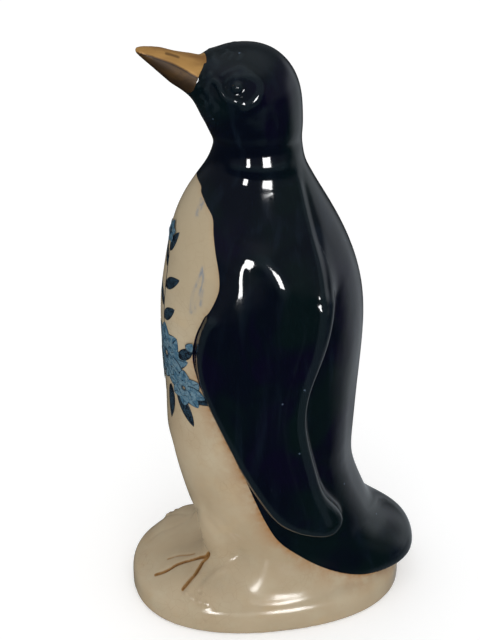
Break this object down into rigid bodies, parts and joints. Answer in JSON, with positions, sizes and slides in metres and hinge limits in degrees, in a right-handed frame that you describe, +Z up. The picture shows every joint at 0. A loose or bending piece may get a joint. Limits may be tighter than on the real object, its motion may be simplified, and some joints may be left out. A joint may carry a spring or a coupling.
{
  "type": "penguin figurine",
  "caption": "Standing penguin figurine with raised bill, folded flippers and webbed feet, a hollow glazed ceramic bird on an oval plinth.",
  "frame": {"origin": "centre of the underside of the object's box: on the table, midway between the plinth's front and the tip of the tail", "axes": "+Z up, the bird looks along -Y, its left side is +X"},
  "size_m": [0.0856, 0.1252, 0.2573],
  "materials": {
    "cream_glaze": "warm cream glaze, glossy, finely crazed",
    "dark_glaze": "blue-black glaze, very glossy, with green and violet pools",
    "upper_gilding": "rubbed gold over glaze",
    "lower_gilding": "rubbed brown gold over glaze",
    "eye_glaze": "blue-black glaze, very glossy",
    "foot_glaze": "warm cream glaze, glossy, with gilt creases"
  },
  "bodies": {
    "root": {"plinth": "cream_glaze", "breast_and_belly": "cream_glaze", "hood_and_back": "dark_glaze", "tail": "dark_glaze", "left_flipper": "dark_glaze", "right_flipper": "dark_glaze", "upper_bill": "upper_gilding", "lower_bill": "lower_gilding", "left_eye": "eye_glaze", "right_eye": "eye_glaze", "left_foot": "foot_glaze", "right_foot": "foot_glaze"}
  },
  "joints": []
}
